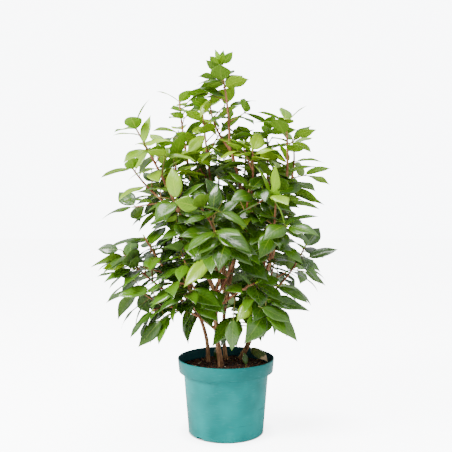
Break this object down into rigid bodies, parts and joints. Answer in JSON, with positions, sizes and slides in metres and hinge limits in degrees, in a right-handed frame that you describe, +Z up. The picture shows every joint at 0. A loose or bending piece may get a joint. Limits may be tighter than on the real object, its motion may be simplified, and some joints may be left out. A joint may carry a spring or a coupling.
{
  "type": "potted camellia shrub",
  "caption": "Evergreen camellia shrub with several woody stems and glossy pointed oval leaves, rooted in soil in a tapered plastic nursery pot with a wide rim band.",
  "frame": {"origin": "centre of the pot's flat underside", "axes": "+Z up the shrub, -Y towards the side the picture was taken from, +X to the right seen from there"},
  "size_m": [0.5467, 0.5439, 0.862],
  "materials": {
    "pot": "satin teal plastic",
    "soil": "loose dark compost",
    "bark": "smooth red-brown bark",
    "foliage": "glossy leathery leaves"
  },
  "bodies": {
    "root": {"bough_back_low": "bark", "bough_back_tall": "bark", "bough_front_centre": "bark", "bough_front_left": "bark", "bough_front_low": "bark", "bough_front_short": "bark", "bough_left_arch": "bark", "bough_left_back": "bark", "bough_left_back_low": "bark", "bough_left_far": "bark", "bough_left_hanging": "bark", "bough_left_inner": "bark", "bough_left_low": "bark", "bough_middle_left": "bark", "bough_middle_right": "bark", "bough_middle_tall": "bark", "bough_right_back": "bark", "bough_right_back_low": "bark", "bough_right_foot": "bark", "bough_right_front": "bark", "bough_right_inner": "bark", "bough_right_low": "bark", "bough_right_tall": "bark", "foliage_back_low": "foliage", "foliage_back_tall": "foliage", "foliage_centre": "foliage", "foliage_front_centre": "foliage", "foliage_front_foot": "foliage", "foliage_front_left": "foliage", "foliage_front_low": "foliage", "foliage_front_short": "foliage", "foliage_left_arch": "foliage", "foliage_left_back": "foliage", "foliage_left_back_low": "foliage", "foliage_left_far": "foliage", "foliage_left_foot": "foliage", "foliage_left_hanging": "foliage", "foliage_left_inner": "foliage", "foliage_left_low": "foliage", "foliage_left_side": "foliage", "foliage_middle_left": "foliage", "foliage_middle_right": "foliage", "foliage_middle_tall": "foliage", "foliage_right_back": "foliage", "foliage_right_back_low": "foliage", "foliage_right_foot": "foliage", "foliage_right_front": "foliage", "foliage_right_inner": "foliage", "foliage_right_low": "foliage", "foliage_right_side": "foliage", "foliage_right_tall": "foliage", "foliage_top": "foliage", "foliage_top_side": "foliage", "leader": "bark", "pot": "pot", "soil": "soil", "stem_front": "bark", "stem_left": "bark", "stem_middle": "bark", "stem_right": "bark"}
  },
  "joints": []
}
